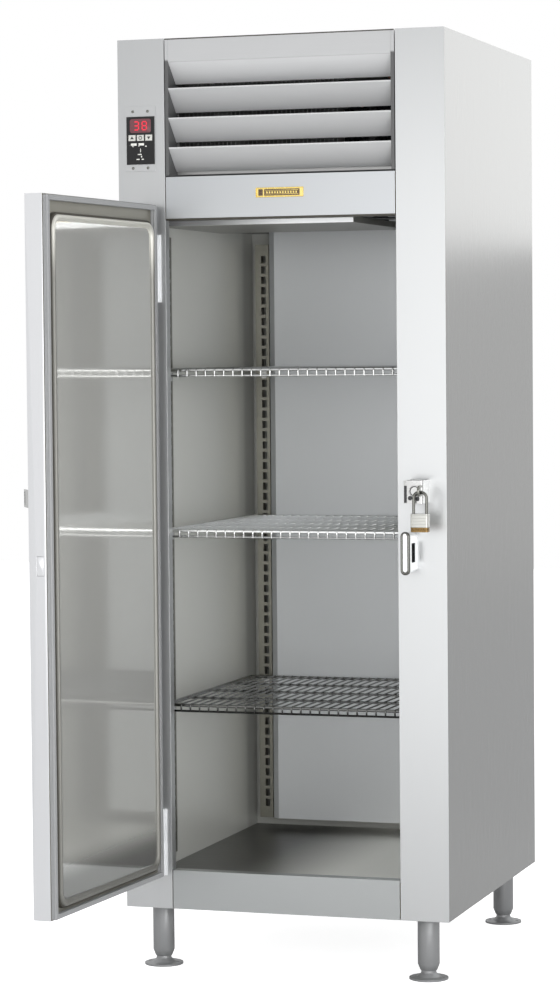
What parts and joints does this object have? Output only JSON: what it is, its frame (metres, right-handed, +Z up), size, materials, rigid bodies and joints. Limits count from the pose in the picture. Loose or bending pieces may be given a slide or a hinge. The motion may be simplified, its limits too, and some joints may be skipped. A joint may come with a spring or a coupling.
{
  "type": "reach-in refrigerator",
  "caption": "Upright commercial reach-in refrigerator with a solid hinged door, wire shelves, louvred compressor section, padlock hasp and levelling legs.",
  "frame": {"origin": "on the floor at the centre of the four feet's inner bolt holes", "axes": "+Z up, +X to the right when facing the front, the front faces -Y"},
  "size_m": [0.7959, 1.4269, 2.102],
  "materials": {
    "outer_sheet": "light grey coated sheet, satin",
    "front_steel": "brushed stainless sheet, grain along its length",
    "liner_metal": "dull anodised liner sheet",
    "louvre_metal": "mid grey satin",
    "foam": "rigid foam, unseen",
    "gasket_rubber": "blue-grey vinyl",
    "wire_coated": "pale epoxy coated wire",
    "steel_bright": "satin",
    "chrome": "polished",
    "black_plastic": "black, slightly glossy",
    "grey_plastic": "grey",
    "key_plastic": "dark grey",
    "coil_metal": "thin fin stock",
    "copper": "copper tube",
    "compressor_black": "black enamel",
    "motor_grey": "grey enamel",
    "fan_metal": "plain",
    "padlock_steel": "laminated steel",
    "badge_metal": "satin plate"
  },
  "bodies": {
    "cabinet": {"left_side_panel": "outer_sheet", "right_side_panel": "outer_sheet", "back_panel": "outer_sheet", "top_panel": "outer_sheet", "base_panel": "outer_sheet", "left_stile": "front_steel", "right_stile": "front_steel", "sill_panel": "front_steel", "header_panel": "front_steel", "badge": "badge_metal", "louvre_frame": "louvre_metal", "louvre_blades": "louvre_metal", "insulation": "foam", "inner_liner": "liner_metal", "floor_pan": "liner_metal", "pilasters": "liner_metal", "duct_panel": "liner_metal", "shelf_clips": "steel_bright", "evaporator_housing": "liner_metal", "evaporator_coil": "coil_metal", "evaporator_fan_shroud": "black_plastic", "machine_deck": "steel_bright", "condenser_coil": "coil_metal", "condenser_fan_shroud": "steel_bright", "fan_motors": "motor_grey", "compressor": "compressor_black", "refrigerant_lines": "copper", "electrical_box": "grey_plastic", "condensate_pan": "grey_plastic", "control_plate": "steel_bright", "control_face": "black_plastic", "control_screws": "steel_bright", "hinge_cabinet_leaves": "steel_bright", "lock_staple": "steel_bright", "latch_keeper": "chrome", "leg_tubes": "steel_bright"},
    "door": {"door_pan": "front_steel", "door_liner": "liner_metal", "door_insulation": "foam", "door_gasket": "gasket_rubber", "latch_case": "steel_bright", "hinge_door_leaves": "steel_bright", "hasp_base": "steel_bright"},
    "lever": {"latch_lever": "chrome"},
    "bolt": {"latch_bolt": "steel_bright"},
    "hasp": {"hasp_flap": "steel_bright"},
    "shackle": {"padlock_shackle": "chrome"},
    "lock_case": {"padlock_body": "padlock_steel"},
    "key_left": {"key_left": "key_plastic"},
    "key_middle": {"key_middle": "key_plastic"},
    "key_right": {"key_right": "key_plastic"},
    "evaporator_fan": {"evaporator_fan": "fan_metal"},
    "condenser_fan": {"condenser_fan": "fan_metal"},
    "foot_front_left": {"foot_front_left": "steel_bright"},
    "foot_front_right": {"foot_front_right": "steel_bright"},
    "foot_rear_left": {"foot_rear_left": "steel_bright"},
    "foot_rear_right": {"foot_rear_right": "steel_bright"},
    "shelf_upper": {"shelf_upper": "wire_coated"},
    "shelf_middle": {"shelf_middle": "wire_coated"},
    "shelf_lower": {"shelf_lower": "wire_coated"}
  },
  "joints": [
    {"name": "door_swing", "type": "hinge", "parent": "cabinet", "child": "door", "pos_m": [-0.2905, -0.4245, 0.216], "axis": [0, 0, -1], "range_deg": [-93.5, 22]},
    {"name": "lever_turn", "type": "hinge", "parent": "door", "child": "lever", "pos_m": [-0.35869, -0.88419, 0.958], "axis": [-0.9981, 0.061, 0], "range_deg": [0, 90]},
    {"name": "bolt_slide", "type": "slide", "parent": "door", "child": "bolt", "axis": [-0.061, -0.9981, 0], "range_m": [0, 0.024]},
    {"name": "hasp_swing", "type": "hinge", "parent": "door", "child": "hasp", "pos_m": [-0.36787, -0.96879, 1.095], "axis": [0, 0, 1], "range_deg": [-15, 143]},
    {"name": "padlock_swing", "type": "hinge", "parent": "cabinet", "child": "shackle", "pos_m": [0.3365, -0.4755, 1.09205], "axis": [-1, 0, 0], "range_deg": [-8, 75]},
    {"name": "padlock_release", "type": "slide", "parent": "shackle", "child": "lock_case", "axis": [0, 0, -1], "range_m": [0, 0.01]},
    {"name": "key_left_press", "type": "slide", "parent": "cabinet", "child": "key_left", "axis": [0, 1, 0], "range_m": [0, 0.0011], "stiffness_N_per_m": 600},
    {"name": "key_middle_press", "type": "slide", "parent": "cabinet", "child": "key_middle", "axis": [0, 1, 0], "range_m": [0, 0.0011], "stiffness_N_per_m": 600},
    {"name": "key_right_press", "type": "slide", "parent": "cabinet", "child": "key_right", "axis": [0, 1, 0], "range_m": [0, 0.0011], "stiffness_N_per_m": 600},
    {"name": "evaporator_fan_spin", "type": "hinge", "parent": "cabinet", "child": "evaporator_fan", "pos_m": [0.236, -0.23, 1.727], "axis": [0, 0, 1], "continuous": true},
    {"name": "condenser_fan_spin", "type": "hinge", "parent": "cabinet", "child": "condenser_fan", "pos_m": [-0.07, -0.262, 1.958], "axis": [0, 1, 0], "continuous": true},
    {"name": "foot_front_left_level", "type": "slide", "parent": "cabinet", "child": "foot_front_left", "axis": [0, 0, -1], "range_m": [0, 0.025]},
    {"name": "foot_front_right_level", "type": "slide", "parent": "cabinet", "child": "foot_front_right", "axis": [0, 0, -1], "range_m": [0, 0.025]},
    {"name": "foot_rear_left_level", "type": "slide", "parent": "cabinet", "child": "foot_rear_left", "axis": [0, 0, -1], "range_m": [0, 0.025]},
    {"name": "foot_rear_right_level", "type": "slide", "parent": "cabinet", "child": "foot_rear_right", "axis": [0, 0, -1], "range_m": [0, 0.025]},
    {"name": "shelf_upper_lift", "type": "slide", "parent": "cabinet", "child": "shelf_upper", "axis": [0, 0, 1], "range_m": [0, 0.03]},
    {"name": "shelf_middle_lift", "type": "slide", "parent": "cabinet", "child": "shelf_middle", "axis": [0, 0, 1], "range_m": [0, 0.03]},
    {"name": "shelf_lower_lift", "type": "slide", "parent": "cabinet", "child": "shelf_lower", "axis": [0, 0, 1], "range_m": [0, 0.03]}
  ],
  "couplings": [
    {"joint": "bolt_slide", "follows": "lever_turn", "m_per_rad": 0.015278}
  ]
}
